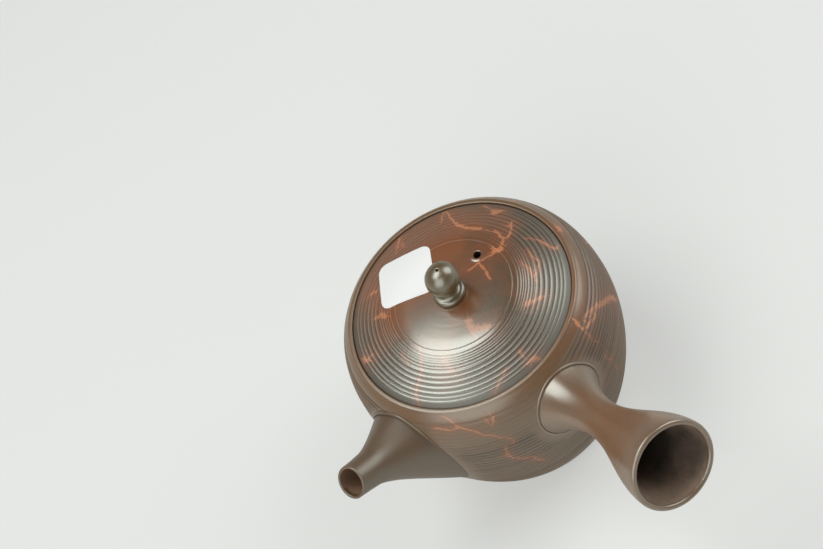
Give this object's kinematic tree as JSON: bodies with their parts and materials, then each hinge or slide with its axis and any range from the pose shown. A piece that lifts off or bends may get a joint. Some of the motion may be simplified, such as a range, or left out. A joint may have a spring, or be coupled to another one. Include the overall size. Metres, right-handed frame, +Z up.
{
  "type": "kyusu teapot",
  "caption": "Side-handled stoneware teapot with a round body, short flared spout, hollow handle, inner clay strainer and a ridged lift-off lid with a ball knob.",
  "frame": {"origin": "centre of the flat base, on the surface that the pot stands on", "axes": "+Z up along the pot's turning axis, the spout towards -X, the side handle towards -Y"},
  "size_m": [0.1288, 0.1629, 0.0942],
  "materials": {
    "body_clay": "burnished unglazed stoneware, combed, brown-grey with fine orange veins",
    "spout_clay": "burnished unglazed stoneware, brown-grey",
    "handle_clay": "burnished unglazed stoneware, brown turning red towards the open end",
    "strainer_clay": "unglazed stoneware, matt, as it left the kiln",
    "lid_clay": "burnished unglazed stoneware with turned ridges and fine orange veins",
    "knob_clay": "burnished unglazed stoneware, dark olive brown",
    "label_paper": "blank white gummed paper"
  },
  "bodies": {
    "pot": {"pot_body": "body_clay", "spout": "spout_clay", "handle": "handle_clay", "strainer": "strainer_clay"},
    "lid": {"lid": "lid_clay", "lid_knob": "knob_clay", "paper_label": "label_paper"}
  },
  "joints": [
    {"name": "lid_lift", "type": "slide", "parent": "pot", "child": "lid", "axis": [0, 0, 1], "range_m": [0, 0.06]}
  ]
}
